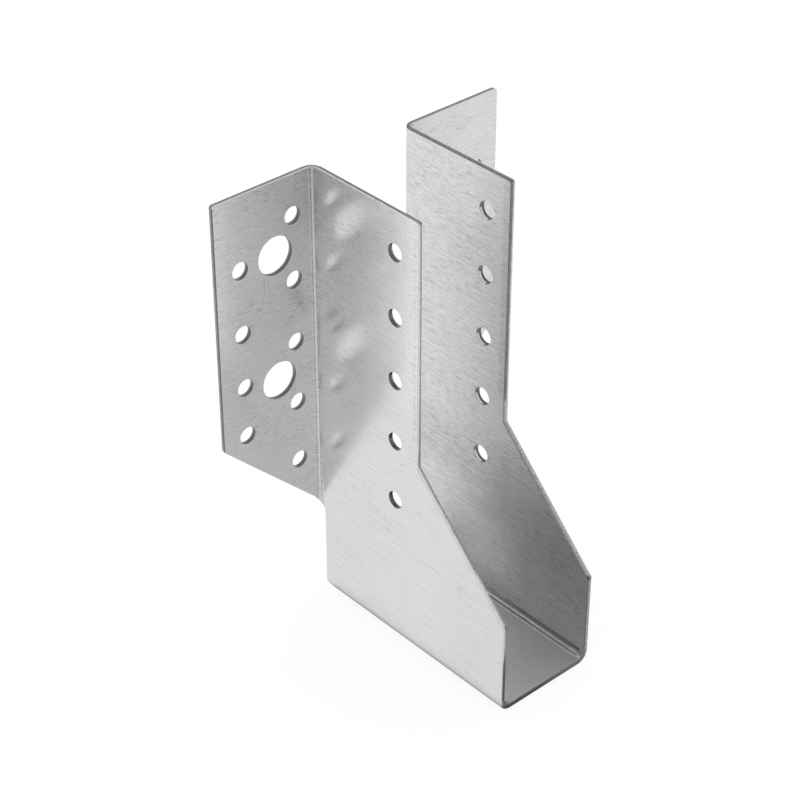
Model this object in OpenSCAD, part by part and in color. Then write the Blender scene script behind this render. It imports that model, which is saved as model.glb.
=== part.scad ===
// Joist hanger: one strip of zinc coated sheet, punched flat and folded along four lines.
// The strip runs flange, wall, seat, wall, flange. The seat is the floor of the hanger, the joist
// lies along Y between the walls, and the backs of the two flanges stand against the header beam.
// Millimetres, +Z up. The origin is under the seat, at the middle of the hanger's width and depth.

/* [Sheet] */
// Thickness of the sheet
sheet_t = 1.5; // [1:0.1:2]
// Inside radius of a fold
fold_in_r = 2; // [1.5:0.1:2.5]
// Radius of the press tool's nose, which grooves the inside of the folds
nose_r = 0.8; // [0.6:0.1:1]
// Depth of the groove in the folds of the seat
seat_groove = 0.25; // [0.1:0.05:0.3]
// Depth of the groove in the folds of the flanges
flange_groove = 0.15; // [0.05:0.05:0.2]
// Distance of a seat groove's ends from the ends of the fold
groove_margin = 4; // [3:0.5:8]

/* [Joist] */
// Clear width between the walls
joist_w = 30; // [26:1:80]
// Depth from the header face to the front of the seat
depth = 74.8; // [70:0.2:90]
// Height from under the seat to the top edge
height = 136; // [132:1:160]

/* [Walls] */
// Depth of the narrow upper part of a wall, from the header face
wall_top_depth = 41.2; // [39:0.2:50]
// Height at which the slanted front edge of a wall begins
slant_low = 29; // [20:0.5:34]
// Angle of the slanted front edge from the seat
slant_angle = 45; // [40:1:50]
// Rounding of the walls' corners
wall_corner_r = 0.6; // [0.3:0.1:1]

/* [Flanges] */
// Width over both flanges
flange_span = 97.2; // [94:0.2:150]
// Height of the lower outer corner of a flange
flange_low = 61.8; // [58:0.2:68]
// Angle of the slanted lower edge of a flange from the seat
flange_angle = 44.2; // [40:0.2:46]
// Rounding of the flanges' outer corners
flange_corner_r = 0.8; // [0.5:0.1:3]
// Radius of the notch where a flange's lower edge turns down into its wall
notch_r = 4; // [3:0.5:5]

/* [Nail holes] */
// Diameter of a nail hole
nail_d = 5; // [4:0.5:5.5]
// Height of the uppermost nail holes
nail_top = 124.2; // [122:0.2:126]
// Spacing of the five nail holes in a column
nail_pitch = 19.1; // [18.5:0.1:19.3]
// Distance of a wall's nail holes from the header face
wall_nail_y = 32.8; // [31:0.2:34]
// Distance of a flange's inner nail column from the joist's side
inner_column = 8.4; // [8:0.2:9]
// Distance of a flange's outer nail column from the joist's side
outer_column = 25.8; // [25:0.2:27]
// Heights of the two lowest nail holes of the outer column
outer_low_heights = [79.1, 63.9];

/* [Bolt holes] */
// Diameter of a bolt hole
bolt_d = 11; // [9:0.5:11]
// Distance of the bolt holes from the joist's side
bolt_column = 14.4; // [14:0.2:15]

/* [Hidden] */
$fn = 64;
joint = 0.01;                       // makes cutters pass clear of the faces that they cut
fold_out_r = fold_in_r + sheet_t;   // outside radius of a fold
wall_in = joist_w / 2;              // inner face of a wall
wall_out = wall_in + sheet_t;       // outer face of a wall
flange_start = wall_in + fold_out_r; // where a flange becomes flat
flange_end = flange_span / 2;
slant_high = slant_low + (depth - wall_top_depth) * tan(slant_angle);
nail_rows = [for (i = [0 : 4]) nail_top - i * nail_pitch];
// the outer column starts half a pitch under the top, level with the upper bolt hole
outer_heights = concat([for (i = [0.5, 1.5]) nail_top - i * nail_pitch], outer_low_heights);
bolt_heights = [for (i = [0.5, 2.5]) nail_top - i * nail_pitch];

// a fold unrolled is as long as the middle of the sheet in it
fold_length = (fold_in_r + sheet_t / 2) * PI / 2;
flange_slope = tan(flange_angle);
flange_inner_low = flange_low - (flange_end - flange_start) * flange_slope;
// the notch is an arc that leaves the wall's back edge upright and ends along the slope
arc_run = notch_r * (1 - sin(flange_angle));
arc_rise = notch_r * cos(flange_angle);
notch_foot = flange_inner_low - (fold_length - arc_run) * flange_slope - arc_rise;
fold_steps = 24;

// height of the notch's edge at a distance s round the fold, measured from the wall
function notch_edge(s) =
    s < arc_run
        ? notch_foot + sqrt(notch_r * notch_r - (notch_r - s) * (notch_r - s))
        : notch_foot + arc_rise + (s - arc_run) * flange_slope;

// what a rounding of radius r takes off a convex corner whose edges leave it at angles a and b
module corner_waste(r, a, b) {
    half = (b - a) / 2;
    reach = r / tan(half);
    centre = r / sin(half) * [cos(a + half), sin(a + half)];
    difference() {
        polygon([[0, 0], reach * [cos(a), sin(a)], centre, reach * [cos(b), sin(b)]]);
        translate(centre) circle(r);
    }
}

// U section of the channel: x across, y up
module channel_section() {
    difference() {
        rounded_trough(wall_out, height, fold_out_r);
        translate([0, sheet_t]) rounded_trough(wall_in, height, fold_in_r);
    }
}

// upright rectangle of half width w whose two lower corners are rounded
module rounded_trough(w, h, r) {
    translate([-w, r]) square([2 * w, h - r]);
    translate([r - w, 0]) square([2 * (w - r), r + joint]);
    for (side = [-1, 1]) translate([side * (w - r), r]) circle(r);
}

// side outline of a wall: x is the distance from the header face, y is up
module wall_outline() {
    difference() {
        union() {
            polygon([
                [fold_out_r, 0], [depth, 0], [depth, slant_low],
                [wall_top_depth, slant_high], [wall_top_depth, height], [fold_out_r, height]
            ]);
            translate([wall_top_depth, slant_high])
                corner_waste(wall_corner_r, -slant_angle, 90);
        }
        translate([wall_top_depth, height]) corner_waste(wall_corner_r, 180, 270);
        translate([depth, slant_low]) corner_waste(wall_corner_r, 180 - slant_angle, 270);
    }
}

// seat and both walls, up to the line where the flange folds begin
module channel() {
    intersection() {
        rotate([90, 0, 0])
            translate([0, 0, fold_out_r])
                linear_extrude(depth - fold_out_r) channel_section();
        rotate([90, 0, -90])
            translate([0, 0, -wall_out - 1])
                linear_extrude(2 * wall_out + 2) wall_outline();
    }
}

// outline of the flat part of the right flange: x across, y up
module flange_outline() {
    difference() {
        polygon([
            [flange_start, flange_inner_low], [flange_end, flange_low],
            [flange_end, height], [flange_start, height]
        ]);
        translate([flange_end, height]) corner_waste(flange_corner_r, 180, 270);
        translate([flange_end, flange_low]) corner_waste(flange_corner_r, 90, 180 + flange_angle);
    }
}

module flange() {
    rotate([90, 0, 0]) linear_extrude(sheet_t) flange_outline();
}

// what the notch takes off the fold: a ramp that climbs round the fold's axis
module fold_notch() {
    inner_r = fold_in_r / 2;
    outer_r = fold_out_r + 0.5;
    low = -1;
    ring = [for (i = [0 : fold_steps])
        let (turn = 180 - 90 * i / fold_steps, top = notch_edge(fold_length * i / fold_steps))
        each [
            [inner_r * cos(turn), inner_r * sin(turn), low],
            [outer_r * cos(turn), outer_r * sin(turn), low],
            [outer_r * cos(turn), outer_r * sin(turn), top],
            [inner_r * cos(turn), inner_r * sin(turn), top]
        ]];
    last = 4 * fold_steps;
    sides = [for (i = [0 : fold_steps - 1], k = [0 : 3])
        let (a = 4 * i + k, b = 4 * i + (k + 1) % 4)
        [a + 4, b + 4, b, a]];
    polyhedron(ring, concat([[0, 1, 2, 3]], sides, [[last + 3, last + 2, last + 1, last]]), convexity = 4);
}

// section of a flange fold about its axis: a quarter of a ring, open to the right and below
module fold_section() {
    intersection() {
        difference() {
            circle(fold_out_r);
            circle(fold_in_r);
        }
        translate([-fold_out_r, 0]) square(fold_out_r);
    }
}

// what the tool's nose takes out of a fold whose axis is upright: it points along the turn given
module nose_groove(length, deep, turn) {
    rotate(turn) translate([fold_in_r + deep - nose_r, 0]) cylinder(h = length, r = nose_r);
}

// fold that joins the right wall to its flange
module fold() {
    translate([flange_start, -fold_out_r, 0])
        difference() {
            linear_extrude(height) fold_section();
            fold_notch();
            translate([0, 0, -1]) nose_groove(height + 2, flange_groove, 135);
        }
}

// grooves along both folds of the seat; they stop short of the fold's ends
module seat_grooves() {
    for (side = [-1, 1])
        translate([side * (wall_in - fold_in_r), groove_margin - depth, sheet_t + fold_in_r])
            rotate([-90, 0, 0])
                nose_groove(depth - fold_out_r - 2 * groove_margin, seat_groove, 90 - 45 * side);
}

module wall_nail_holes() {
    for (z = nail_rows)
        translate([-wall_out - 1, -wall_nail_y, z])
            rotate([0, 90, 0]) cylinder(h = 2 * wall_out + 2, d = nail_d);
}

// hole through a flange at a distance x from the joist's side
module flange_hole(x, z, d) {
    translate([wall_in + x, 1, z]) rotate([90, 0, 0]) cylinder(h = sheet_t + 2, d = d);
}

module flange_holes() {
    for (z = nail_rows) flange_hole(inner_column, z, nail_d);
    for (z = outer_heights) flange_hole(outer_column, z, nail_d);
    for (z = bolt_heights) flange_hole(bolt_column, z, bolt_d);
}

module hanger() {
    color([0.74, 0.75, 0.76])
        translate([0, depth / 2, 0])
            difference() {
                union() {
                    channel();
                    for (side = [0, 1])
                        mirror([side, 0, 0]) {
                            fold();
                            flange();
                        }
                }
                seat_grooves();
                wall_nail_holes();
                for (side = [0, 1]) mirror([side, 0, 0]) flange_holes();
            }
}

hanger();
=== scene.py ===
"""Joist hanger of zinc coated sheet: the folded sheet with its sheared edges, and the studio round it.

The hanger is one strip of sheet. Its flat blank is worked out first, in millimetres:
a runs along the joist and then round into the flanges, b runs up from the middle of the seat,
and depth goes through the sheet from side A, where the punches enter, to side B, where they leave.
Side A is the outside of the walls, the underside of the seat and the front of the flanges.
"""

import math

import bpy
import numpy as np
from mathutils import Matrix, Vector
from mathutils.geometry import delaunay_2d_cdt


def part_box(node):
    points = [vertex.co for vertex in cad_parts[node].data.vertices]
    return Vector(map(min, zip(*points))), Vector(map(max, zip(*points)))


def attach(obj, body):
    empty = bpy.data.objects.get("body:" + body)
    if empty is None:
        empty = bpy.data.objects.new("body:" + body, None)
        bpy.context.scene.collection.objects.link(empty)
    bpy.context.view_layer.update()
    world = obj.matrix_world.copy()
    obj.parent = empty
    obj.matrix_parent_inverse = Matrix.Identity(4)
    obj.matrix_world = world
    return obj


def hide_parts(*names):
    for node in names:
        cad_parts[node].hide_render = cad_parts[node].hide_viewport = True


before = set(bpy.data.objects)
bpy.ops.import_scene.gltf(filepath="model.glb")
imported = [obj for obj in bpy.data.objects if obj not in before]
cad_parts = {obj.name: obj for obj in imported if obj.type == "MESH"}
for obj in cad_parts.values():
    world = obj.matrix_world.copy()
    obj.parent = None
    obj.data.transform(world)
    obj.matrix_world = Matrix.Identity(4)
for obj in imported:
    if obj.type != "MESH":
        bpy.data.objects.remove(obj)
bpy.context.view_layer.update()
PART_LOW, PART_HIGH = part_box("hanger")

bl_info = {
    "name": "Joist hanger",
    "version": (1, 0, 0),
    "blender": (4, 5, 0),
    "location": "3D View > Sidebar > Hanger",
    "description": "Makes a folded and punched joist hanger of galvanised sheet, and a studio for it",
    "category": "Add Mesh",
}

MM = 0.001

# Sizes that the part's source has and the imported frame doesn't say, in millimetres
JOIST_WIDTH = 30.0
FOLD_RADIUS = 2.0
NOSE_RADIUS = 0.8
SEAT_GROOVE = 0.25
FLANGE_GROOVE = 0.15
GROOVE_MARGIN = 4.0
WALL_TOP_DEPTH = 41.2
SLANT_LOW = 29.0
SLANT_ANGLE = math.radians(45)
WALL_CORNER_RADIUS = 0.6
FLANGE_LOW = 61.8
FLANGE_ANGLE = math.radians(44.2)
FLANGE_CORNER_RADIUS = 0.8
NOTCH_RADIUS = 4.0
NAIL_TOP = 124.2
NAIL_PITCH = 19.1
WALL_NAIL_DEPTH = 32.8
INNER_COLUMN = 8.4
OUTER_COLUMN = 25.8
OUTER_LOW_HEIGHTS = (79.1, 63.9)
BOLT_COLUMN = 14.4

# Mesh, in millimetres: the length in which a seat groove ends, the steps round corners and holes, and
# how far the even lines of points keep from the edges and from the folds
GROOVE_RUNOUT = 0.4
ARC_STEP = 0.12
HOLE_STEP = 0.25
EDGE_MARGIN = 0.75
FOLD_MARGIN = 0.7
FOLD_LINES = 41

# Sheared edges, in millimetres: the worn burr and the roughness of the break
BURR = 0.05
BREAK_GRAIN = 0.012

# Heights on a wall where its front's look changes, and how far the seat's front runs from the middle
# of the blank, in millimetres
UPPER_CUT = 69.0
LOWER_SLANT = 42.0
FOOT = 24.0
SEAT_FRONT = 18.5

# Places in the profile of a sheared edge, from 0 on side A to 1 on side B
LAND_START = 0.2
LAND_END = 0.5
BREAK_END = 0.94

# Die roll: its depth as a share of its width, and where its outermost ring lies, in its widths
ROLL_DEPTH = 0.85
ROLL_REACH = 1.25

# Share of the sheet's thickness that the smooth land takes, and how far that waves
LAND_WAVE = 0.06
LAND = 0.44
LEFT_UPPER_LAND = 0.54
LEFT_FOOT_LAND = 0.24
RIGHT_LAND = 0.60
RIGHT_UPPER_LAND = 0.36
SEAT_LAND = 0.82
LEFT_TOP_LAND = 0.26
RIGHT_TOP_LAND = 0.20
HOLE_LAND = 0.78
RIGHT_HOLE_LAND = 0.56

# Tones of the sheared edges, from 0 to 1: lightness of the land and of the break, speckle of the land.
# On the fronts they hold painted light and shade as well, and the right wall's holes a painted highlight
PLAIN_EDGE = np.array([0.17, 0.45, 0.24])
LEFT_FRONT = np.array([0.72, 0.26, 0.24])
LEFT_UPPER_FRONT = np.array([0.80, 0.46, 0.24])
RIGHT_FRONT = np.array([0.40, 0.20, 0.80])
RIGHT_UPPER_FRONT = np.array([0.72, 0.29, 0.40])
SEAT_FRONT_LEFT = np.array([0.09, 0.20, 0.24])
SEAT_FRONT_RIGHT = np.array([0.20, 0.24, 0.24])
TOP_EDGE = np.array([0.80, 0.31, 0.24])
HOLE_EDGE = np.array([0.165, 0.70, 0.24])
RIGHT_HOLE_LIGHT = 0.14
RIGHT_HOLE_HIGHLIGHT = (0.42, 1.26)
CORNER_LAND = 0.6
CORNER_BREAK = 0.35
BREAK_SPOTS = (0.65, 1.35)
BURR_SHADE = 0.35

# What is added to a front's tones: painted light on the slants, painted shade on the left front's
# upright foot, and a lighter break up to the lower part of its slant
LEFT_SLANT = np.array([0.20, 0.22, 0.0])
RIGHT_SLANT = np.array([0.15, 0.28, 0.0])
LEFT_FOOT = np.array([-0.08, -0.33, 0.0])
LEFT_LOWER = np.array([0.0, 0.19, 0.0])

# Strength of the zinc's patterns, as shares of its lightness
GRAIN = 0.50
PEPPER = 0.07
ROLL_LINES = 0.32
CLOUDS = 0.07
DARK_MARKS = 0.25
POLISHED_MARKS = 0.10

# Shares of that strength: on side A and side B, of the fine patterns on polished walls, and on the seat
FINE_SHARES = (0.48, 1.28)
BROAD_SHARES = (0.66, 1.25)
POLISHED_SHARE = 0.22
SEAT_SHARE = 0.5

# Lighter and darker places, as shares of the zinc's lightness: first on side A, then on side B.
# On side A there is painted shade on the seat's bends and at the top of the flange folds; the places on
# side B are painted light and painted shade. A pair of numbers says how the place changes: from flange to
# wall, or from low to high
WORN_LIGHT = 0.21
SIDE_A_DULL = 0.03
BEND_SHADE = 0.03
RIGHT_HALF_DULL = (0.04, 0.09)
LEFT_FLANGE_DULL = (-0.05, 0.05)
FOLD_TOP_SHADE = 0.10
OUTER_BACK_DULL = 0.035
SIDE_B_LIGHT = 0.01
SEAT_LIGHT = 0.05
INNER_BACK_LIGHT = 0.27
INNER_FRONT_LIGHT = 0.15
BETWEEN_SHADE = 0.10
BESIDE_SEAT_SHADE = 0.09

# How far a seat groove's marks run past it, and the size of the drag marks on a sheared edge, in
# millimetres
GROOVE_END_REACH = 2.2
DRAG_LENGTH = 0.35
DRAG_DEPTH = 0.45

# Painted shade and painted highlight in the folds, and rubs beside the cuts, as shares of the zinc's
# lightness.
# A pair of numbers goes from the back of the seat to its front, or from a groove's bottom to its flanks
SEAT_FOLD_SHADE = 0.22
UPPER_FLANK_SHADE = 0.42
LOWER_FLANK_SHADE = 0.36
GROOVE_HIGHLIGHT = (0.52, 0.35)
GROOVE_END_SHADE = 0.22
FLANGE_FOLD_SHADE = (0.14, 0.23)
FRONT_DOTS = 0.26
BACK_DOTS = 0.05
OUTER_RUB = 0.18
INNER_RUB = 0.12

# Roughness: of side A, and what the other places and patterns add to it; then of the land and the break
SIDE_A_ROUGH = 0.24
SIDE_B_ROUGHER = 0.17
BEND_ROUGHER = 0.06
MARKS_ROUGHER = 0.08
CLOUDS_ROUGHER = 0.06
EDGE_ROUGH = (0.32, 0.52)

# Relief: its height in metres, and the roll lines' share of it
RELIEF = 0.00003
ROLL_RELIEF = 0.3

# The maps on the mesh hold hundredths of their millimetres
MAP_UNIT = 100.0

# Studio, in metres: half the floor's side, a point in the middle of the hanger, and how far to the
# right of the picture's middle and under it that point lies
FLOOR_HALF = 3.0
HANGER_MIDDLE = (0, 0.0024, 0.068)
MIDDLE_RIGHT = 0.01246
MIDDLE_DOWN = 0.00466

# Paper sweep: how far round the hanger its light changes and its contact shade reaches, in metres, its
# brightness in the picture, and how much of it is plain light for the camera and for the metal
SWEEP_REACH = 0.26
CONTACT_REACH = 0.005
PAPER_BRIGHTNESS = 1.06
PLAIN_SEEN = 0.82
PLAIN_MIRRORED = 0.9
WHITE = (1.0, 1.0, 1.0, 1.0)


# Colour and node helpers


def linear(code):
    """sRGB hex colour as linear red, green, blue and alpha."""
    values = [int(code[i : i + 2], 16) / 255 for i in (1, 3, 5)]
    return [v / 12.92 if v <= 0.04045 else ((v + 0.055) / 1.055) ** 2.4 for v in values] + [1.0]


def add_node(tree, kind, settings=None, inputs=None):
    """Adds a node. inputs holds a value, an output socket or a field for each input's name or number."""
    node = tree.nodes.new(kind)
    for name, value in (settings or {}).items():
        setattr(node, name, value)
    for name, value in (inputs or {}).items():
        value = value.socket if isinstance(value, Field) else value
        if isinstance(value, bpy.types.NodeSocket):
            tree.links.new(value, node.inputs[name])
        else:
            node.inputs[name].default_value = value
    return node


def new_tree(owner):
    """Empty node tree of a material or of the world."""
    owner.use_nodes = True
    owner.node_tree.nodes.clear()
    return owner.node_tree


class Field:
    """A number that varies over a surface. Arithmetic on it is done by the material's nodes, so a
    tone is written as a plain formula."""

    def __init__(self, tree, socket):
        self.tree = tree
        self.socket = socket

    def reckon(self, operation, *others, limited=False):
        """This number and the others after one operation, if limited then kept between 0 and 1."""
        settings = {"operation": operation, "use_clamp": limited}
        node = add_node(self.tree, "ShaderNodeMath", settings, dict(enumerate((self, *others))))
        return Field(self.tree, node.outputs[0])

    def __add__(self, other):
        return self.reckon("ADD", other)

    def __sub__(self, other):
        return self.reckon("SUBTRACT", other)

    def __rsub__(self, other):
        return self.reckon("MULTIPLY_ADD", -1.0, other)

    def __mul__(self, other):
        return self.reckon("MULTIPLY", other)

    def __abs__(self):
        return self.reckon("ABSOLUTE")

    __radd__ = __add__
    __rmul__ = __mul__

    def ramp(self, start, full):
        """0 where this number is at start or beyond it, 1 at full and beyond, and even between."""
        slope = 1 / (full - start)
        return self.reckon("MULTIPLY_ADD", slope, -start * slope, limited=True)

    def band(self, low, high, soft):
        """1 between low and high, and fading to 0 at both over the width soft."""
        return self.ramp(low, low + soft) * self.ramp(high, high - soft)


def blend(under, over, share):
    """under where share is 0, over where it is 1; for numbers, arrays and fields."""
    return under + (over - under) * share


# The flat blank


class Blank:
    """Sizes of the flat blank, from the hanger's own sizes. Everything is in millimetres."""

    def __init__(self, sizes):
        self.sheet = sizes.sheet / MM
        self.front = PART_LOW.y / MM
        self.header = PART_HIGH.y / MM
        self.height = PART_HIGH.z / MM
        self.flange_end = PART_HIGH.x / MM
        self.wall_in = JOIST_WIDTH / 2
        self.wall_out = self.wall_in + self.sheet
        self.fold_out = FOLD_RADIUS + self.sheet
        # a fold unrolled is as long as the middle of the sheet in it
        self.fold_length = (FOLD_RADIUS + self.sheet / 2) * math.pi / 2
        self.seat_flat = self.wall_out - self.fold_out
        self.wall_flat = self.header - self.fold_out
        self.flange_start = self.wall_in + self.fold_out
        self.seat_fold = self.seat_flat + self.fold_length / 2
        self.flange_fold = self.wall_flat + self.fold_length / 2
        self.seat_middle = (self.front + self.wall_flat) / 2
        self.groove_half = (self.wall_flat - self.front) / 2 - GROOVE_MARGIN
        self.nail_radius = sizes.nail_hole / MM / 2
        self.bolt_radius = sizes.bolt_hole / MM / 2
        self.a_end = self.along(self.flange_end)
        self.b_end = self.up(self.height)

    def up(self, z):
        """Blank coordinate b of a height z on a wall or flange."""
        return self.seat_flat + self.fold_length + z - self.fold_out

    def along(self, x):
        """Blank coordinate a of a distance x from the middle, on a flange."""
        return self.wall_flat + self.fold_length + x - self.flange_start

    def outline(self):
        """Corners of the blank as rows of a, b and rounding, clockwise, with the waste on the left."""
        slant_high = SLANT_LOW + (self.wall_top() - self.front) * math.tan(SLANT_ANGLE)
        notch = FLANGE_LOW - (self.a_end - self.wall_flat) * math.tan(FLANGE_ANGLE)
        half = [
            (self.front, self.up(SLANT_LOW), WALL_CORNER_RADIUS),
            (self.wall_top(), self.up(slant_high), WALL_CORNER_RADIUS),
            (self.wall_top(), self.b_end, WALL_CORNER_RADIUS),
            (self.a_end, self.b_end, FLANGE_CORNER_RADIUS),
            (self.a_end, self.up(FLANGE_LOW), FLANGE_CORNER_RADIUS),
            (self.wall_flat, self.up(notch), NOTCH_RADIUS),
        ]
        return half + [(a, -b, r) for a, b, r in reversed(half)]

    def wall_top(self):
        """Blank coordinate a of the walls' upright upper front."""
        return self.header - WALL_TOP_DEPTH

    def holes(self):
        """Every punched hole as a, b and radius, on both halves."""
        rows = [NAIL_TOP - i * NAIL_PITCH for i in range(5)]
        nail_a = self.header - WALL_NAIL_DEPTH
        inner_a = self.along(self.wall_in + INNER_COLUMN)
        outer_a = self.along(self.wall_in + OUTER_COLUMN)
        bolt_a = self.along(self.wall_in + BOLT_COLUMN)
        outer_rows = [NAIL_TOP - 0.5 * NAIL_PITCH, NAIL_TOP - 1.5 * NAIL_PITCH, *OUTER_LOW_HEIGHTS]
        bolt_rows = [NAIL_TOP - 0.5 * NAIL_PITCH, NAIL_TOP - 2.5 * NAIL_PITCH]
        half = [(nail_a, self.up(z), self.nail_radius) for z in rows]
        half += [(inner_a, self.up(z), self.nail_radius) for z in rows]
        half += [(outer_a, self.up(z), self.nail_radius) for z in outer_rows]
        half += [(bolt_a, self.up(z), self.bolt_radius) for z in bolt_rows]
        return half + [(a, -b, r) for a, b, r in half]

    def fold_section(self, turn, to_inner, groove):
        """Place in the section of a fold, from the fold's axis: turn goes from 0 to 1 round the fold,
        to_inner from 0 on its outer face to 1 on its inner face. Both faces are quarter circles
        round the axis. Where the circle of the press tool's nose, sunk by the groove's depth, lies
        further out than the inner face, the inner face follows it."""
        angle = turn * math.pi / 2
        away = angle - math.pi / 4
        nose = FOLD_RADIUS + groove - NOSE_RADIUS
        under = NOSE_RADIUS**2 - (nose * np.sin(away)) ** 2
        reach = np.where(under > 0, nose * np.cos(away) + np.sqrt(np.maximum(under, 0)), 0)
        inner = np.maximum(FOLD_RADIUS, reach)
        radius = self.fold_out + (inner - self.fold_out) * to_inner
        return np.stack([radius * np.sin(angle), -radius * np.cos(angle)], -1)

    def folded(self, a, b, depth):
        """Point of the blank after folding. Up the section the seat's flat turns by a fold into the
        wall, and past the wall's flat the sheet turns by a second fold into the flange."""
        share = depth / self.sheet
        side = np.where(b < 0, -1.0, 1.0)
        across = np.abs(b)
        lift = np.clip((across - self.seat_flat) / self.fold_length, 0, 1)
        from_end = self.groove_half - np.abs(a - self.seat_middle)
        seat_groove = SEAT_GROOVE * smooth_step(from_end / GROOVE_RUNOUT)
        section = self.fold_section(lift, share, seat_groove)
        x = np.minimum(across, self.seat_flat) + section[..., 0]
        past_fold = np.maximum(across - self.seat_flat - self.fold_length, 0)
        z = self.fold_out + section[..., 1] + past_fold
        turn = np.clip((a - self.wall_flat) / self.fold_length, 0, 1)
        section = self.fold_section(turn, 1 - share, FLANGE_GROOVE)
        y = np.minimum(a, self.wall_flat) + section[..., 0]
        past_fold = np.maximum(a - self.wall_flat - self.fold_length, 0)
        out = self.flange_start + section[..., 1] + past_fold
        x = np.where(a > self.wall_flat, out, x)
        return np.stack([side * x, y, z], -1)


def smooth_step(value):
    """0 below 0, 1 above 1, and a smooth rise between."""
    value = np.clip(value, 0, 1)
    return value * value * (3 - 2 * value)


def rounded_loop(corners, step):
    """Closed loop through rounded corners: its points and their outward normals.
    Each corner is an arc tangent to both sides; the straight stretches are cut into equal steps."""
    places = np.array([c[:2] for c in corners])
    radii = np.array([c[2] for c in corners])
    coming = places - np.roll(places, 1, 0)
    coming /= np.linalg.norm(coming, axis=1)[:, None]
    going = np.roll(coming, -1, 0)
    turn = np.arctan2(coming[:, 0] * going[:, 1] - coming[:, 1] * going[:, 0], (coming * going).sum(1))
    reach = radii * np.abs(np.tan(turn / 2))
    points, normals = [], []
    for i in range(len(corners)):
        bend = np.sign(turn[i])
        count = max(5, int(abs(turn[i]) * radii[i] / ARC_STEP))
        angle = np.linspace(0, turn[i], count)
        left = np.array([-coming[i, 1], coming[i, 0]])
        centre = places[i] - coming[i] * reach[i] + left * bend * radii[i]
        spin = np.stack([np.cos(angle), np.sin(angle)], -1)
        normal = np.stack([left[0] * spin[:, 0] - left[1] * spin[:, 1],
                           left[0] * spin[:, 1] + left[1] * spin[:, 0]], -1)
        points.append(centre - normal * bend * radii[i])
        normals.append(normal)
        start = points[-1][-1]
        nxt = (i + 1) % len(corners)
        end = places[nxt] - coming[nxt] * reach[nxt]
        count = max(2, int(np.linalg.norm(end - start) / step))
        share = (np.arange(1, count) / count)[:, None]
        points.append(start + (end - start) * share)
        normals.append(np.repeat(normal[-1:], count - 1, 0))
    return np.concatenate(points), np.concatenate(normals)


def hole_loop(a, b, radius):
    """Circle walked anticlockwise. Its normals point away from the metal, to its centre."""
    count = int(2 * math.pi * radius / HOLE_STEP)
    angle = np.arange(count) * 2 * math.pi / count
    outward = np.stack([np.cos(angle), np.sin(angle)], -1)
    return np.array([a, b]) + radius * outward, -outward


def smooth_noise(count, waves, rng):
    """Closed noise along a loop: a sum of sines with random phases, about 1 at most."""
    sines = 12
    along = np.arange(count) / count * 2 * math.pi
    turns = rng.integers(2, max(3, waves), sines)
    phases = rng.uniform(0, 2 * math.pi, sines)
    return np.sin(along[:, None] * turns + phases).mean(1) * 2


def edge_rings(count, length, land_share, sizes, rng):
    """Profile of a sheared edge: rows of inset and depth in millimetres and of the place in the
    profile, each with one value per point of the loop.
    The die roll is a quarter ellipse from side A, then comes the smooth land that the tool burnished,
    then the break that slopes back to side B, and a small worn burr."""
    sheet = sizes.sheet / MM
    slope = sizes.break_slope / MM
    roll = sizes.die_roll / MM
    drop = roll * ROLL_DEPTH
    even = np.ones(count)
    rows = [(roll * ROLL_REACH * even, 0 * even, 0 * even)]
    for step in range(6):
        angle = step / 5 * math.pi / 2
        inset = roll * (1 - math.sin(angle))
        depth = drop * (1 - math.cos(angle))
        rows.append((inset * even, depth * even, LAND_START * step / 5 * even))
    land = sheet * (land_share + LAND_WAVE * smooth_noise(count, int(length / 3), rng))
    rows.append((0 * even, land, LAND_END * even))
    for share in (0.08, 0.35, 0.7, 1.0):
        rough = BREAK_GRAIN * rng.standard_normal(count) * (share < 1)
        inset = np.maximum(slope * share**0.8 + rough, 0.0)
        depth = blend(land, sheet - BURR, share)
        rows.append((inset, depth, blend(LAND_END, BREAK_END, share) * even))
    rows.append(((slope + BURR) * even, sheet * even, 0.98 * even))
    rows.append(((slope + 4 * BURR) * even, sheet * even, even))
    return rows


def edge_zones(a, b, blank):
    """How far each point belongs to the fronts, to their upright foot, to the seat's front and to
    the slit top edges, from 0 to 1."""
    across = np.abs(b)
    top = smooth_step((across - blank.b_end + 0.7) / 0.4)
    front = smooth_step((blank.wall_top() + 1.0 - a) / 0.5) * (1 - top)
    foot = front * smooth_step((blank.up(FOOT) - across) / 10)
    seat = front * smooth_step((SEAT_FRONT - across) / 3.5)
    return front[:, None], foot[:, None], seat[:, None], top[:, None]


def land_shares(points, is_hole, blank):
    """Share of the thickness that the smooth land takes: one for a hole, else one for each point.
    It is wide on the seat's front and on the right front, and narrow on the top edges."""
    if is_hole:
        in_right_wall = points[0, 1] > 0 and points[0, 0] < blank.wall_flat
        return RIGHT_HOLE_LAND if in_right_wall else HOLE_LAND
    front, foot, seat, top = edge_zones(points[:, 0], points[:, 1], blank)
    on_right = points[:, 1:] > 0
    upper = np.abs(points[:, 1:]) > blank.up(UPPER_CUT)
    left_land = np.where(upper, LEFT_UPPER_LAND, LAND)
    right_land = np.where(upper, RIGHT_UPPER_LAND, RIGHT_LAND)
    share = blend(LAND, np.where(on_right, right_land, left_land), front)
    share = blend(share, LEFT_FOOT_LAND, foot * ~on_right)
    share = blend(share, SEAT_LAND, seat)
    return blend(share, np.where(on_right, RIGHT_TOP_LAND, LEFT_TOP_LAND), top)[:, 0]


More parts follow.
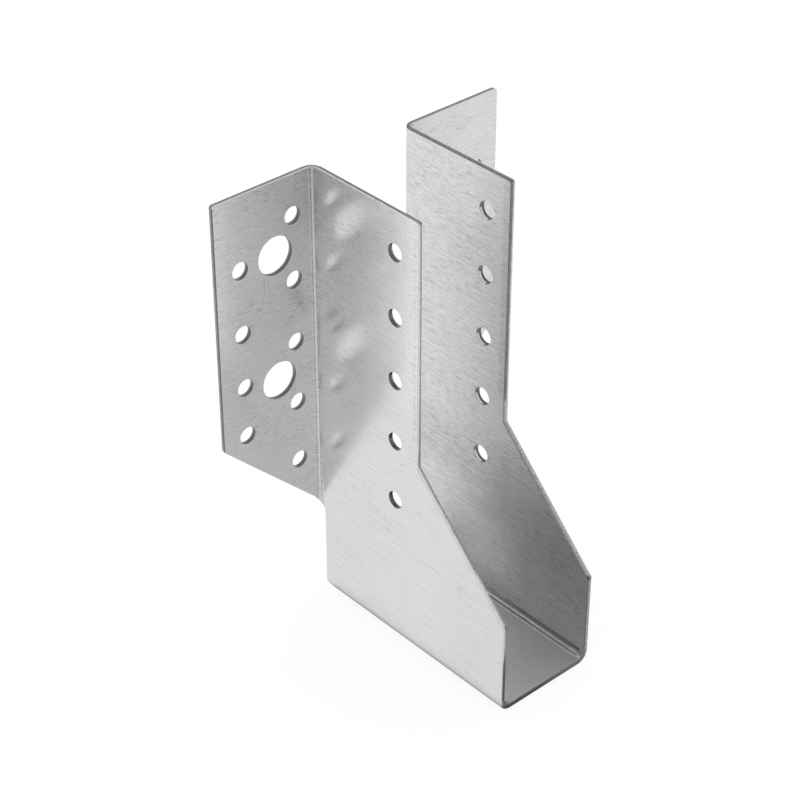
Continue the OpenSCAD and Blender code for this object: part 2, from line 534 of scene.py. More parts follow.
def edge_tones(a, b, in_hole, blank):
    """Lightness of the land and of the break and speckle of the land, for each point.
    Zinc smeared by the tool and painted light make the left front light, zinc makes the land of the top
    edges light and the right front speckled, and painted light makes the slants lighter. The right front
    is painted darker than the left, and painted shade darkens the left front's foot and the seat's front,
    which mirror the floor's shade. The holes' land and the seat's front are bare and dark."""
    front, foot, seat, top = edge_zones(a, b, blank)
    across = np.abs(b)[:, None]
    slant = smooth_step((a - blank.front - 0.6) / 0.3)[:, None]
    lower = smooth_step((blank.up(LOWER_SLANT) - across) / 4)
    upper = across > blank.up(UPPER_CUT)
    on_left = LEFT_FRONT + lower * LEFT_LOWER + foot * LEFT_FOOT + slant * LEFT_SLANT
    on_left = np.where(upper, LEFT_UPPER_FRONT, on_left)
    on_right = np.where(upper, RIGHT_UPPER_FRONT, RIGHT_FRONT + slant * RIGHT_SLANT)
    # Painted shade on the seat's front, which mirrors the floor's shade
    on_seat = blend(SEAT_FRONT_LEFT, SEAT_FRONT_RIGHT, smooth_step((b + 6) / 16)[:, None])
    tones = blend(PLAIN_EDGE, np.where(b[:, None] < 0, on_left, on_right), front)
    tones = blend(tones, on_seat, seat)
    tones = blend(tones, TOP_EDGE, top)

    # The corner under each slant is dark
    from_corner = np.hypot(a - blank.front, np.abs(b) - blank.up(SLANT_LOW))
    clear = smooth_step((from_corner - 0.1) / 0.35)
    tones[:, 0] *= np.where(b < 0, 1.0, blend(CORNER_LAND, 1.0, clear))
    tones[:, 1] *= blend(CORNER_BREAK, 1.0, clear)

    # Painted highlight on the right wall's holes
    # The holes in the right wall get a painted highlight on the break where it faces up and forward
    tones[in_hole] = HOLE_EDGE
    in_right_wall = in_hole & (b > 0) & (a < blank.wall_flat)
    for hole_a, hole_b, radius in blank.holes():
        ring = in_right_wall & (np.hypot(a - hole_a, b - hole_b) < radius + 1)
        facing = (0.667 * (a[ring] - hole_a) - 0.745 * (b[ring] - hole_b)) / radius
        tones[ring, 0] = RIGHT_HOLE_LIGHT
        tones[ring, 1] = blend(*RIGHT_HOLE_HIGHLIGHT, smooth_step((facing - 0.6) / 0.3))
    return tones


def clear_of(points, loop, holes, gap):
    """Which points lie on the metal, more than gap from the outline and from every hole.
    The outline test counts the crossings of a ray; the distance is to the nearest loop point."""
    inside = np.zeros(len(points), bool)
    after = np.roll(loop, -1, 0)
    for (a0, b0), (a1, b1) in zip(loop, after):
        if b0 == b1:
            continue
        crosses = (points[:, 1] < b0) != (points[:, 1] < b1)
        at = a0 + (points[:, 1] - b0) * (a1 - a0) / (b1 - b0)
        inside ^= crosses & (points[:, 0] < at)
    if gap > 0:
        near = np.full(len(points), np.inf)
        for chunk in np.array_split(loop, 16):
            distance = np.linalg.norm(points[:, None] - chunk[None], axis=2).min(1)
            near = np.minimum(near, distance)
        inside &= near > gap
    for a, b, radius in holes:
        inside &= np.hypot(points[:, 0] - a, points[:, 1] - b) > radius + gap
    return inside


def grid_lines(low, high, step, fold_start, fold_length):
    """Even lines from low to high, with close ones through the fold and just beside it."""
    lines = np.arange(low + step / 2, high, step)
    past_fold = fold_start + fold_length
    lines = lines[(lines < fold_start - FOLD_MARGIN) | (lines > past_fold + FOLD_MARGIN)]
    beside = np.array([0.15, 0.5])
    within = np.linspace(0, fold_length, FOLD_LINES)
    close = np.concatenate([-beside[::-1], within, fold_length + beside])
    return np.sort(np.concatenate([lines, fold_start + close]))


def face_grid(blank, step, outline, holes):
    """Points within a face: lines both ways, close in the folds and at the ends of the seat's
    grooves, kept where they are clear of the outline and of the holes."""
    lines_a = grid_lines(blank.front, blank.a_end, step, blank.wall_flat, blank.fold_length)
    groove_end = blank.groove_half - np.arange(-1, 6) * 0.1
    lines_a = np.concatenate([lines_a, blank.seat_middle - groove_end, blank.seat_middle + groove_end])
    lines_b = grid_lines(0, blank.b_end, step, blank.seat_flat, blank.fold_length)
    lines_b = np.concatenate([-lines_b[::-1], lines_b])
    grid = np.stack(np.meshgrid(np.sort(lines_a), lines_b, indexing="ij"), -1).reshape(-1, 2)
    return grid[clear_of(grid, outline, holes, EDGE_MARGIN)]


def fill_face(loops, inner_points, outline, holes):
    """Triangles between the loops and the points within them, on the flat blank."""
    starts = np.cumsum([0] + [len(loop) for loop in loops])
    edges = []
    for start, loop in zip(starts, loops):
        index = start + np.arange(len(loop))
        edges += list(zip(index.tolist(), np.roll(index, -1).tolist()))
    points = np.concatenate(loops + [inner_points])
    result = delaunay_2d_cdt([Vector(p) for p in points], edges, [], 0, 1e-7)
    placed, faces, came_from = result[0], result[2], result[3]
    if len(placed) != len(points) or any(len(c) != 1 for c in came_from):
        raise RuntimeError("the blank's face could not be filled without new points")
    index = np.array([c[0] for c in came_from])
    triangles = index[np.array(faces)]
    middle = points[triangles].mean(1)
    keep = clear_of(middle, outline, [], 0)
    for a, b, radius, count in holes:
        keep &= np.hypot(middle[:, 0] - a, middle[:, 1] - b) > radius * math.cos(math.pi / count)
    return triangles[keep]


def sheet_mesh(sizes):
    """The whole folded sheet: both faces and the sheared edges between them, as one closed mesh."""
    blank = Blank(sizes)
    rng = np.random.default_rng(7)
    step = sizes.mesh_step / MM
    holes = blank.holes()
    loops = [rounded_loop(blank.outline(), step / 2)]
    loops += [hole_loop(*hole) for hole in holes]

    # Edge strips, ring by ring
    flat, depths, places, quads, quad_runs = [], [], [], [], []
    first_rings, last_rings, first_index, last_index = [], [], [], []
    base = 0
    for number, (points, normals) in enumerate(loops):
        count = len(points)
        stretch = np.linalg.norm(np.roll(points, -1, 0) - points, axis=1)
        runs = np.concatenate([[0], np.cumsum(stretch)])
        rows = edge_rings(count, runs[-1], land_shares(points, number > 0, blank), sizes, rng)
        for inset, depth, place in rows:
            flat.append(points - normals * inset[:, None])
            depths.append(depth)
            places.append(place)
        rings = base + np.arange(len(rows) * count).reshape(len(rows), count)
        after = np.roll(rings, -1, 1)
        quads.append(np.stack([rings[:-1], after[:-1], after[1:], rings[1:]], -1).reshape(-1, 4))
        near = np.broadcast_to(runs[:-1], (len(rows) - 1, count))
        far = np.broadcast_to(runs[1:], (len(rows) - 1, count))
        quad_runs.append(np.stack([near, far, far, near], -1).reshape(-1, 4))
        first_rings.append(flat[-len(rows)])
        last_rings.append(flat[-1])
        first_index.append(rings[0])
        last_index.append(rings[-1])
        base += rings.size
    outline_size = len(loops[0][0]) * len(rows)
    edge_size = base

    # The two faces, each filled between its own rings; the holes are grown by the ring's inset
    grid = face_grid(blank, step, loops[0][0], holes)
    triangles = []
    for depth, rings, index in ((0.0, first_rings, first_index), (blank.sheet, last_rings, last_index)):
        inset = np.linalg.norm(rings[1][0] - np.array(holes[0][:2])) - holes[0][2]
        grown = [(a, b, r + inset, len(ring)) for (a, b, r), ring in zip(holes, rings[1:])]
        face = fill_face(rings, grid, rings[0], grown)
        lookup = np.concatenate([*index, base + np.arange(len(grid))])
        face = lookup[face]
        triangles.append(face if depth == 0 else face[:, ::-1])
        flat.append(grid)
        depths.append(np.full(len(grid), depth))
        places.append(np.full(len(grid), depth / blank.sheet))
        base += len(grid)

    flat = np.concatenate(flat)
    quads = np.concatenate(quads)
    folded = blank.folded(flat[:, 0], flat[:, 1], np.concatenate(depths)) * MM
    mesh = bpy.data.meshes.new("folded_sheet")
    mesh.from_pydata(folded.tolist(), [], quads.tolist() + np.concatenate(triangles).tolist())
    mesh.validate()
    number = np.arange(len(flat))
    in_hole = (number >= outline_size) & (number < edge_size)
    tones = edge_tones(flat[:, 0], flat[:, 1], in_hole, blank)
    write_maps(mesh, flat, np.concatenate(places), np.concatenate(quad_runs), tones)
    mesh.polygons.foreach_set("use_smooth", np.ones(len(mesh.polygons), bool))
    mesh.set_sharp_from_angle(angle=math.radians(50))
    mesh.update()
    return mesh


def write_maps(mesh, flat, places, quad_runs, tones):
    """Writes what the material reads. The map "blank" holds the blank's own coordinates, so that
    patterns follow the sheet round its folds. The map "edge" holds the run along a sheared edge and
    the place in its profile. The attribute "edge_tone" holds the edge's tones."""
    corner = np.zeros(len(mesh.loops), np.int32)
    mesh.loops.foreach_get("vertex_index", corner)
    blank_map = mesh.uv_layers.new(name="blank")
    blank_map.data.foreach_set("uv", (flat[corner] / MAP_UNIT).astype(np.float32).ravel())
    values = np.zeros((len(corner), 2), np.float32)
    values[:quad_runs.size, 0] = quad_runs.ravel() / MAP_UNIT
    values[:, 1] = places[corner]
    edge_map = mesh.uv_layers.new(name="edge")
    edge_map.data.foreach_set("uv", values.ravel())
    edge_tone = mesh.attributes.new("edge_tone", "FLOAT_VECTOR", "POINT")
    edge_tone.data.foreach_set("vector", tones.astype(np.float32).ravel())


# Materials


class Sheet:
    """Where a point of the sheet lies, as fields: along and across in millimetres on the flat blank,
    up from the seat's middle with its sign, the two faces, and the patterns of the rolled zinc."""

    def __init__(self, tree, blank):
        self.tree = tree
        self.blank = blank
        blank_map = add_node(tree, "ShaderNodeUVMap", {"uv_map": "blank"})
        flat = add_node(tree, "ShaderNodeVectorMath", {"operation": "SCALE"},
                        {0: blank_map.outputs[0], 3: MAP_UNIT})
        self.flat = flat.outputs[0]
        place = add_node(tree, "ShaderNodeSeparateXYZ", {}, {0: self.flat})
        self.along = Field(tree, place.outputs["X"])
        self.up = Field(tree, place.outputs["Y"])
        self.across = abs(self.up)
        self.edge_map = add_node(tree, "ShaderNodeUVMap", {"uv_map": "edge"}).outputs[0]
        edge = add_node(tree, "ShaderNodeSeparateXYZ", {}, {0: self.edge_map})
        self.profile = Field(tree, edge.outputs["Y"])
        self.side_b = self.profile.ramp(0.97, 1.0)
        self.side_a = 1 - self.side_b
        self.on_wall = self.along.ramp(36.5, 34.0)
        self.on_seat = self.side_b * self.across.ramp(18.0, 12.0)
        bend = self.across.band(blank.seat_fold - 2.2, blank.seat_fold + 2.4, 1.2)
        self.outer_bend = bend * self.side_a
        self.roll_lines = self.pattern(17.0, 0.42, 2.0)
        self.clouds = self.pattern(16.0, 11.0, 3.0, (11.0, 2.0))
        dashes = self.pattern(3.3, 0.30, 1.0, (5.0, 9.0)).ramp(0.61, 0.72)
        patches = self.pattern(19.0, 12.0, 2.0, (1.0, 6.0)).ramp(0.38, 0.58)
        specks = self.pattern(0.75, 0.5, 0.0, (8.0, 1.0)).ramp(0.79, 0.87)
        self.marks = (dashes * patches).reckon("MAXIMUM", specks)

    def pattern(self, size_a, size_b, detail, offset=(0.0, 0.0), roughness=0.5):
        """Pattern from 0 to 1 whose grains are about size_a by size_b millimetres on the blank."""
        placed = add_node(self.tree, "ShaderNodeVectorMath", {"operation": "MULTIPLY_ADD"},
                          {0: self.flat, 1: (1 / size_a, 1 / size_b, 1.0), 2: (*offset, 0.0)})
        grains = add_node(self.tree, "ShaderNodeTexNoise", {"noise_dimensions": "2D"},
                          {"Vector": placed.outputs[0], "Scale": 1.0, "Detail": detail,
                           "Roughness": roughness})
        return Field(self.tree, grains.outputs["Fac"])


def rolled_tone(sheet):
    """Tone that the rolls left: fine grain, broad roll lines and clouds, and dark dashes and specks.
    The rolls polished the outside of the walls, most of all near the seat, and the inner face least."""
    polished = sheet.side_a * sheet.on_wall * sheet.across.ramp(150.0, 30.0)
    grain = sheet.pattern(3.2, 0.27, 2.0, (3.1, 7.7), 0.6)
    pepper = sheet.pattern(0.42, 0.34, 1.0, (2.0, 5.0))
    fine = GRAIN * (grain - 0.5) + PEPPER * (pepper - 0.5)
    fine = fine * blend(*FINE_SHARES, sheet.side_b) * blend(1, POLISHED_SHARE, polished)
    broad = ROLL_LINES * (sheet.roll_lines - 0.5) + CLOUDS * (sheet.clouds - 0.5)
    broad = broad * blend(*BROAD_SHARES, sheet.side_b)
    dark = sheet.marks * blend(DARK_MARKS, POLISHED_MARKS, polished)
    return (fine + broad - dark) * blend(1, SEAT_SHARE, sheet.on_seat)


def outer_face_tone(sheet):
    """Lighter where the walls' upper front is worn bright, and duller on the right half and low in the
    walls' back. Painted shade darkens the stretched outside of the seat's bends, which mirror the floor's
    shade, and the top of the flange folds. The left flange gets duller upwards."""
    worn = sheet.on_wall * sheet.along.ramp(22.0, 8.0) * sheet.across.ramp(90.0, 110.0)
    on_left = sheet.up.reckon("LESS_THAN", 0.0)
    on_right = sheet.up.reckon("GREATER_THAN", 0.0)
    right_half = on_right * blend(*RIGHT_HALF_DULL, sheet.along.ramp(62.0, 40.0))
    from_fold = abs(sheet.along - sheet.blank.flange_fold)
    # Painted shade at the top of the flange folds, beside the crease
    fold_top = from_fold.ramp(9.0, 2.0) * sheet.across.ramp(122.0, 146.0)
    low_back = sheet.on_wall * sheet.across.ramp(70.0, 50.0) * sheet.along.ramp(-5.0, 15.0)
    left_flange = on_left * sheet.along.ramp(35.0, 38.0)
    left_flange = left_flange * blend(*LEFT_FLANGE_DULL, sheet.across.ramp(85.0, 135.0))
    darkening = SIDE_A_DULL + FOLD_TOP_SHADE * fold_top + OUTER_BACK_DULL * low_back
    tone = WORN_LIGHT * worn - (darkening + right_half + left_flange)
    # Painted shade on the outside of the seat's bends, which mirror the floor's shade
    return tone * sheet.side_a - BEND_SHADE * sheet.outer_bend


def inner_face_painted_light(sheet):
    """Painted light and painted shade on the inner face: lighter on the seat, low in the walls' back and
    high in their front, and darker between these and beside the seat."""
    low_back = sheet.along.band(-14.0, 14.0, 10.0) * sheet.across.band(20.0, 45.0, 6.0)
    beside_seat = sheet.across.ramp(15.0, 20.0) * sheet.across.ramp(66.0, 54.0)
    high_front = sheet.along.ramp(24.0, 10.0) * sheet.across.ramp(126.0, 142.0)
    between = sheet.along.ramp(-14.0, -6.0) * sheet.across.band(48.0, 72.0, 8.0)
    # Painted light and painted shade on the inner face
    light = SIDE_B_LIGHT + INNER_BACK_LIGHT * low_back + INNER_FRONT_LIGHT * high_front
    darkening = BESIDE_SEAT_SHADE * beside_seat + BETWEEN_SHADE * between
    return (light - darkening) * sheet.side_b + SEAT_LIGHT * sheet.on_seat


def seat_fold_shade_and_highlight(sheet):
    """How much darker the inside of the seat's folds is painted: painted shade over the fold, more of it
    along both flanks of the groove that the tool's nose leaves, a painted highlight along its bottom, and
    a dash of painted shade across each end."""
    from_middle = abs(sheet.along - sheet.blank.seat_middle)
    up_fold = sheet.across - sheet.blank.seat_fold
    end = sheet.blank.groove_half + GROOVE_END_REACH
    upper_flank = up_fold.band(1.1, 2.45, 0.35) * sheet.along.ramp(-5.0, -13.0)
    lower_flank = up_fold.band(-1.3, -0.15, 0.25)
    # Painted highlight along the groove's bottom, painted shade along its flanks and across its ends
    groove_highlight = up_fold.band(-0.15, 0.6, 0.25) * blend(*GROOVE_HIGHLIGHT, sheet.along.ramp(0.0, -14.0))
    lines = UPPER_FLANK_SHADE * upper_flank + LOWER_FLANK_SHADE * lower_flank - groove_highlight
    lines = lines * from_middle.ramp(end + 0.3, end)
    dash = from_middle.band(end - 0.5, end + 0.3, 0.3) * up_fold.band(-0.2, 2.3, 0.4)
    # Painted shade over the hollow of the fold
    darkening = SEAT_FOLD_SHADE * abs(up_fold).ramp(2.3, 1.2)
    return (darkening + lines + GROOVE_END_SHADE * dash) * sheet.side_b


def flange_fold_shade(sheet):
    """How much darker the inside of the flange folds is painted: painted shade in the fold's hollow, least
    along the groove's bottom, and rows of dots of painted shade along the groove's flanks.
    """
    past_fold = sheet.along - sheet.blank.flange_fold
    dots = sheet.pattern(0.7, 0.8, 1.0, (4.0, 2.0)).ramp(0.42, 0.60)
    rows = FRONT_DOTS * past_fold.band(0.42, 0.98, 0.2) + BACK_DOTS * past_fold.band(-0.9, -0.5, 0.2)
    # Painted shade in the fold's hollow, least along the groove's bottom, and in dots along its flanks
    hollow = blend(*FLANGE_FOLD_SHADE, abs(past_fold).ramp(0.10, 0.35)) * past_fold.band(-1.9, 1.9, 0.7)
    return (rows * dots + hollow) * sheet.side_a


def blade_rubs(sheet):
    """How much darker the faces are beside the walls' upper fronts, where the blade rubbed them."""
    from_cut = sheet.along - sheet.blank.wall_top()
    rubbed = sheet.pattern(3.0, 1.1, 1.0, (7.0, 3.0)).ramp(0.40, 0.62)
    outside = OUTER_RUB * rubbed * from_cut.band(0.05, 1.7, 0.4) * sheet.side_a
    inside = INNER_RUB * from_cut.band(-0.5, 2.8, 0.9) * sheet.side_b
    high_up = sheet.across.ramp(sheet.blank.up(UPPER_CUT), sheet.blank.up(UPPER_CUT + 3))
    return (outside + inside) * high_up


def scratch(sheet, face, start, stop, width, strength):
    """Straight dark mark on one face, between two places on the blank. The distance to the line
    through them fades it out sideways, and the way gone from start to stop ends it."""
    run_a = stop[0] - start[0]
    run_b = stop[1] - start[1]
    length = math.hypot(run_a, run_b)
    from_a = (sheet.along - start[0]) * (1 / length)
    from_b = (sheet.up - start[1]) * (1 / length)
    ahead = from_a * run_a + from_b * run_b
    beside = from_b * run_a - from_a * run_b
    return abs(beside).ramp(width, 0.0) * ahead.band(-width, length + width, width * 2) * face * strength


def marks_and_painted_reflection(sheet):
    """How much darker the handling marks and a painted dark reflection are. Where two meet, the darker one
    shows.
    """
    # A line up the inside of the right wall
    darkest = scratch(sheet, sheet.side_b, (15.6, 149.0), (14.5, 100.0), 0.3, 0.06)
    outer_marks_and_reflection = [
        # A line scribed along the left wall
        ((33.0, -47.2), (-32.0, -47.0), 0.3, 0.07),
        # A spot of painted dark reflection and two darker patches on the left wall, near its flange
        ((30.4, -104.8), (27.2, -109.8), 3.6, 0.46),
        ((22.0, -141.0), (19.0, -137.0), 8.0, 0.17),
        ((24.0, -101.0), (21.0, -97.0), 8.0, 0.11),
        # Two short scratches on the left flange
        ((53.0, -118.5), (53.1, -123.5), 0.28, 0.22),
        ((51.7, -119.0), (51.8, -122.5), 0.28, 0.16),
    ]
    for mark in outer_marks_and_reflection:
        darkest = darkest.reckon("MAXIMUM", scratch(sheet, sheet.side_a, *mark))
    return darkest


def galvanised_sheet(sizes):
    """Zinc coated steel sheet, hot dipped and then skin-passed between rolls.
    The eye sees a half-matt light grey metal with fine lines along the rolling direction,
    faint clouds of zinc crystals, and a few scratches and dark specks from handling.
    The sheared edges show bare steel smeared with zinc: a smooth land, then a grainy dark break.
    Its colour also holds painted light and shade, on the faces, in the folds and on the edges, and a
    painted dark reflection."""
    material = bpy.data.materials.new("galvanised_rolled_steel")
    tree = new_tree(material)
    sheet = Sheet(tree, Blank(sizes))
    # The lightness holds the rolled zinc's patterns and painted light and shade on both faces; the painted
    # shade and highlight of the folds, the rubs, the handling marks and a painted dark reflection are
    # taken off it
    light = 1 + rolled_tone(sheet) + outer_face_tone(sheet) + inner_face_painted_light(sheet)
    shade_and_marks = seat_fold_shade_and_highlight(sheet) + flange_fold_shade(sheet) + blade_rubs(sheet) + marks_and_painted_reflection(sheet)
    zinc = add_node(tree, "ShaderNodeVectorMath", {"operation": "SCALE"},
                    {0: tuple(sizes.zinc), 3: light - shade_and_marks})

    # The tool dragged zinc and grain along the sheared edges
    drag_size = (MAP_UNIT / DRAG_LENGTH, sheet.blank.sheet / DRAG_DEPTH, 1.0)
    edge_place = add_node(tree, "ShaderNodeVectorMath", {"operation": "MULTIPLY"},
                          {0: sheet.edge_map, 1: drag_size})
    drag = add_node(tree, "ShaderNodeTexNoise", {"noise_dimensions": "2D"},
                    {"Vector": edge_place.outputs[0], "Scale": 1.0, "Detail": 2.0})
    drag = Field(tree, drag.outputs["Fac"])
    spots = drag.ramp(0.3, 0.7)

    # The place in the profile says where the land ends and the break begins
    tones = add_node(tree, "ShaderNodeAttribute", {"attribute_name": "edge_tone"})
    tones = add_node(tree, "ShaderNodeSeparateXYZ", {}, {0: tones.outputs["Vector"]})
    land_light, break_light, speckle = (Field(tree, tones.outputs[name]) for name in "XYZ")
    dark_roll = 0.11 * land_light.ramp(0.3, 0.15)
    on_edge = (sheet.profile + dark_roll).ramp(0.13, 0.19) * sheet.profile.ramp(0.985, 0.96)
    broken = sheet.profile.ramp(LAND_END - 0.01, LAND_END + 0.04)
    land = land_light * (1 + speckle * (spots - 0.5))
    bare = blend(land, break_light * blend(*BREAK_SPOTS, spots), broken)
    # Painted shade of the burr on the last of the break
    bare = bare * (1 - BURR_SHADE * sheet.profile.ramp(0.84, 0.92))
    steel = add_node(tree, "ShaderNodeVectorMath", {"operation": "SCALE"},
                     {0: tuple(sizes.steel), 3: bare})
    colour = add_node(tree, "ShaderNodeMix", {"data_type": "RGBA"},
                      {0: on_edge, 6: zinc.outputs[0], 7: steel.outputs[0]})

    # The outer face is half matt, the inner face, the outside of the bends and the break are duller
    face_rough = SIDE_A_ROUGH + CLOUDS_ROUGHER * (sheet.clouds - 0.5) + MARKS_ROUGHER * sheet.marks
    face_rough = face_rough + SIDE_B_ROUGHER * sheet.side_b + BEND_ROUGHER * sheet.outer_bend
    rough = blend(face_rough, blend(*EDGE_ROUGH, broken), on_edge)

    # Relief: shallow roll lines on the faces, drag lines and grain on the edges
    relief = blend(ROLL_RELIEF * sheet.roll_lines, drag, on_edge)
    bump = add_node(tree, "ShaderNodeBump", {}, {"Strength": 0.3, "Distance": RELIEF, "Height": relief})
    shader = add_node(tree, "ShaderNodeBsdfPrincipled", {},
                      {"Base Color": colour.outputs[2], "Metallic": 1.0, "Roughness": rough,
                       "Normal": bump.outputs[0]})
    add_node(tree, "ShaderNodeOutputMaterial", {}, {"Surface": shader.outputs[0]})
    return material


def camera_side(tree, direction, settings):
    """1 on the side of the room where the camera stands, fading to 0 round the sides."""
    flat = add_node(tree, "ShaderNodeVectorMath", {"operation": "MULTIPLY"}, {0: direction, 1: (1, 1, 0)})
    level = add_node(tree, "ShaderNodeVectorMath", {"operation": "NORMALIZE"}, {0: flat.outputs[0]})
    towards = (math.sin(settings.azimuth), -math.cos(settings.azimuth), 0)
    facing = add_node(tree, "ShaderNodeVectorMath", {"operation": "DOT_PRODUCT"},
                      {0: level.outputs[0], 1: towards})
    fade = add_node(tree, "ShaderNodeMapRange", {"interpolation_type": "SMOOTHSTEP"},
                    {"Value": facing.outputs["Value"], "From Min": 0.15, "From Max": 0.95})
    return Field(tree, fade.outputs[0])


def studio_floor(settings):
    """Matt white paper sweep. The camera and the metal see it mostly as plain light, and it
    darkens a little where the hanger shades it. On the camera's side the metal mirrors it darker."""
    material = bpy.data.materials.new("white_paper_sweep")
    tree = new_tree(material)
    place = add_node(tree, "ShaderNodeTexCoord").outputs["Object"]
    away = add_node(tree, "ShaderNodeVectorMath", {"operation": "LENGTH"}, {0: place})
    far = Field(tree, away.outputs["Value"]).ramp(0.0, SWEEP_REACH)
    contact = add_node(tree, "ShaderNodeAmbientOcclusion", {"samples": 4},
                       {"Distance": CONTACT_REACH})
    shaded = 1 - (1 - settings.camera_side) * camera_side(tree, place, settings) * far
    strength = settings.floor_strength * shaded * Field(tree, contact.outputs["AO"])
    paper = add_node(tree, "ShaderNodeBsdfDiffuse", {}, {"Color": WHITE})
    plain = add_node(tree, "ShaderNodeEmission", {}, {"Color": WHITE, "Strength": PAPER_BRIGHTNESS})
    lit = add_node(tree, "ShaderNodeEmission", {}, {"Color": WHITE, "Strength": strength})
    path = add_node(tree, "ShaderNodeLightPath")
    seen = PLAIN_SEEN * Field(tree, path.outputs["Is Camera Ray"])
    mirrored = PLAIN_MIRRORED * Field(tree, path.outputs["Is Glossy Ray"])
    to_metal = add_node(tree, "ShaderNodeMixShader", {},
                        {0: mirrored, 1: paper.outputs[0], 2: lit.outputs[0]})
    mix = add_node(tree, "ShaderNodeMixShader", {}, {0: seen, 1: to_metal.outputs[0], 2: plain.outputs[0]})
    add_node(tree, "ShaderNodeOutputMaterial", {}, {"Surface": mix.outputs[0]})
    return material


def white_surroundings(settings):
    """White room: bright at the level of the hanger, duller straight above and on the camera's side."""
    world = bpy.data.worlds.new("white_surroundings")
    tree = new_tree(world)
    direction = add_node(tree, "ShaderNodeTexCoord").outputs["Generated"]
    height = add_node(tree, "ShaderNodeSeparateXYZ", {}, {0: direction})
    fade = add_node(tree, "ShaderNodeMapRange", {"interpolation_type": "SMOOTHSTEP"},
                    {"Value": height.outputs["Z"], "From Min": 0.0, "From Max": 0.9,
                     "To Min": settings.world_strength, "To Max": settings.ceiling_strength})
    shaded = 1 - (1 - settings.camera_side) * camera_side(tree, direction, settings)
    sky = add_node(tree, "ShaderNodeBackground", {},
                   {"Color": WHITE, "Strength": Field(tree, fade.outputs[0]) * shaded})
    add_node(tree, "ShaderNodeOutputWorld", {}, {"Surface": sky.outputs[0]})
    return world


# Properties


class HangerSizes(bpy.types.PropertyGroup):
    """Sizes and colours that a user would change."""

    sheet: bpy.props.FloatProperty(
        name="Sheet", description="Thickness of the sheet", default=0.0015, unit="LENGTH", precision=5)
    nail_hole: bpy.props.FloatProperty(
        name="Nail hole", description="Diameter of a nail hole", default=0.005, unit="LENGTH",
        precision=5)
    bolt_hole: bpy.props.FloatProperty(
        name="Bolt hole", description="Diameter of a bolt hole", default=0.011, unit="LENGTH",
        precision=5)
    die_roll: bpy.props.FloatProperty(
        name="Die roll", description="Rounding that the punch leaves on side A", default=0.00014,
        unit="LENGTH", precision=5)
    break_slope: bpy.props.FloatProperty(
        name="Break slope", description="How far the broken part of an edge slopes back", default=0.00012,
        unit="LENGTH", precision=5)
    mesh_step: bpy.props.FloatProperty(
        name="Mesh step", description="Spacing of the points on the flat faces", default=0.002,
        unit="LENGTH", precision=5)
    zinc: bpy.props.FloatVectorProperty(
        name="Zinc", description="Colour of the zinc on the faces", default=linear("#D9D9D9")[:3],
        subtype="COLOR", min=0, max=1)
    steel: bpy.props.FloatVectorProperty(
        name="Steel", description="Colour of the bare steel on the sheared edges",
        default=linear("#E6E6E6")[:3], subtype="COLOR", min=0, max=1)


class StudioSettings(bpy.types.PropertyGroup):
    """Camera and light."""

    azimuth: bpy.props.FloatProperty(
        name="Azimuth", description="Turn of the camera round the hanger", default=math.radians(-41.99),
        subtype="ANGLE")
    elevation: bpy.props.FloatProperty(
        name="Elevation", description="Height of the camera over the floor, as an angle",
        default=math.radians(34.44), subtype="ANGLE")
    distance: bpy.props.FloatProperty(
        name="Distance", description="Distance of the camera from the hanger's middle", default=0.58961,
        unit="LENGTH", precision=5)
    lens: bpy.props.FloatProperty(
        name="Lens", description="Focal length in millimetres, on a sensor 36 mm wide", default=100.17,
        unit="CAMERA")
    world_strength: bpy.props.FloatProperty(
        name="Surroundings", description="Strength of the white surroundings", default=1.04)
    ceiling_strength: bpy.props.FloatProperty(
        name="Ceiling", description="Strength of the surroundings straight above", default=0.83)
    camera_side: bpy.props.FloatProperty(
        name="Camera side", description="Share of the light on the side where the camera stands",
        default=0.78)
    floor_strength: bpy.props.FloatProperty(
        name="Floor", description="Strength of the floor as the metal mirrors it", default=1.12)


# Operators


class HANGER_OT_folded_sheet(bpy.types.Operator):
    """Makes the folded sheet in place of the plain part"""

    bl_idname = "hanger.folded_sheet"
    bl_label = "Folded sheet"

    def execute(self, context):
        sizes = context.scene.hanger_sizes
        mesh = sheet_mesh(sizes)
        mesh.materials.append(galvanised_sheet(sizes))
        piece = bpy.data.objects.new("folded_sheet", mesh)
        context.scene.collection.objects.link(piece)
        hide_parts("hanger")
        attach(piece, "root")
        return {"FINISHED"}


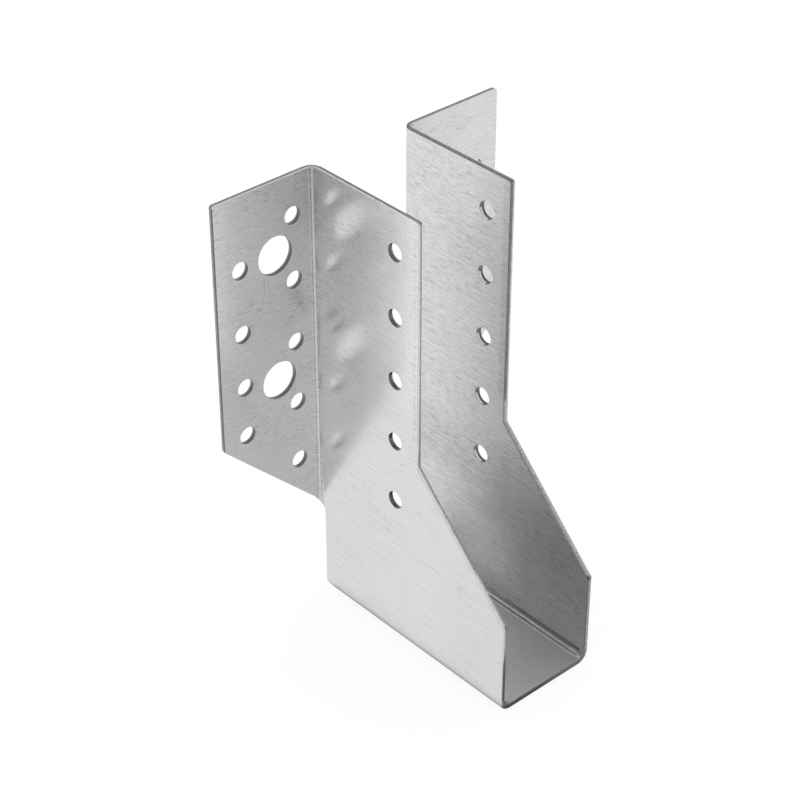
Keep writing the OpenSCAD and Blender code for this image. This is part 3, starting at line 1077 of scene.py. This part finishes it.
class HANGER_OT_stage(bpy.types.Operator):
    """Makes the paper sweep, the surroundings and the camera"""

    bl_idname = "hanger.stage"
    bl_label = "Stage"

    def execute(self, context):
        scene = context.scene
        studio = scene.hanger_studio
        half = FLOOR_HALF
        mesh = bpy.data.meshes.new("floor")
        corners = [(-half, -half, 0), (half, -half, 0), (half, half, 0), (-half, half, 0)]
        mesh.from_pydata(corners, [], [(0, 1, 2, 3)])
        mesh.materials.append(studio_floor(studio))
        floor = bpy.data.objects.new("floor", mesh)
        scene.collection.objects.link(floor)
        scene.world = white_surroundings(studio)

        # The camera's axes from its two angles: back points from the hanger to the camera
        azimuth, elevation = studio.azimuth, studio.elevation
        level = math.cos(elevation)
        back = Vector((math.sin(azimuth) * level, -math.cos(azimuth) * level, math.sin(elevation)))
        right = Vector((math.cos(azimuth), math.sin(azimuth), 0))
        up = back.cross(right)
        middle = Vector(HANGER_MIDDLE) - right * MIDDLE_RIGHT + up * MIDDLE_DOWN
        data = bpy.data.cameras.new("camera")
        data.lens = studio.lens
        data.sensor_width = 36
        data.clip_start = 0.01
        data.clip_end = 20
        camera = bpy.data.objects.new("camera", data)
        turn = Matrix((right, up, back)).transposed().to_4x4()
        camera.matrix_world = Matrix.Translation(middle + back * studio.distance) @ turn
        scene.collection.objects.link(camera)
        scene.camera = camera
        scene.view_settings.view_transform = "Standard"
        return {"FINISHED"}


class HANGER_PT_panel(bpy.types.Panel):
    """Shows the hanger's sizes, the studio's settings and the operators"""

    bl_label = "Joist hanger"
    bl_idname = "HANGER_PT_panel"
    bl_space_type = "VIEW_3D"
    bl_region_type = "UI"
    bl_category = "Hanger"

    def draw(self, context):
        column = self.layout.column()
        for group in (context.scene.hanger_sizes, context.scene.hanger_studio):
            for name in group.bl_rna.properties.keys():
                if name not in ("rna_type", "name"):
                    column.prop(group, name)
        for operator in OPERATORS:
            column.operator(operator.bl_idname)


OPERATORS = (HANGER_OT_folded_sheet, HANGER_OT_stage)
CLASSES = (HangerSizes, StudioSettings, *OPERATORS, HANGER_PT_panel)


def register():
    for cls in CLASSES:
        bpy.utils.register_class(cls)
    bpy.types.Scene.hanger_sizes = bpy.props.PointerProperty(type=HangerSizes)
    bpy.types.Scene.hanger_studio = bpy.props.PointerProperty(type=StudioSettings)


def unregister():
    del bpy.types.Scene.hanger_studio
    del bpy.types.Scene.hanger_sizes
    for cls in reversed(CLASSES):
        bpy.utils.unregister_class(cls)


def main():
    register()
    bpy.ops.hanger.folded_sheet()
    bpy.ops.hanger.stage()


if __name__ == "__main__":
    main()
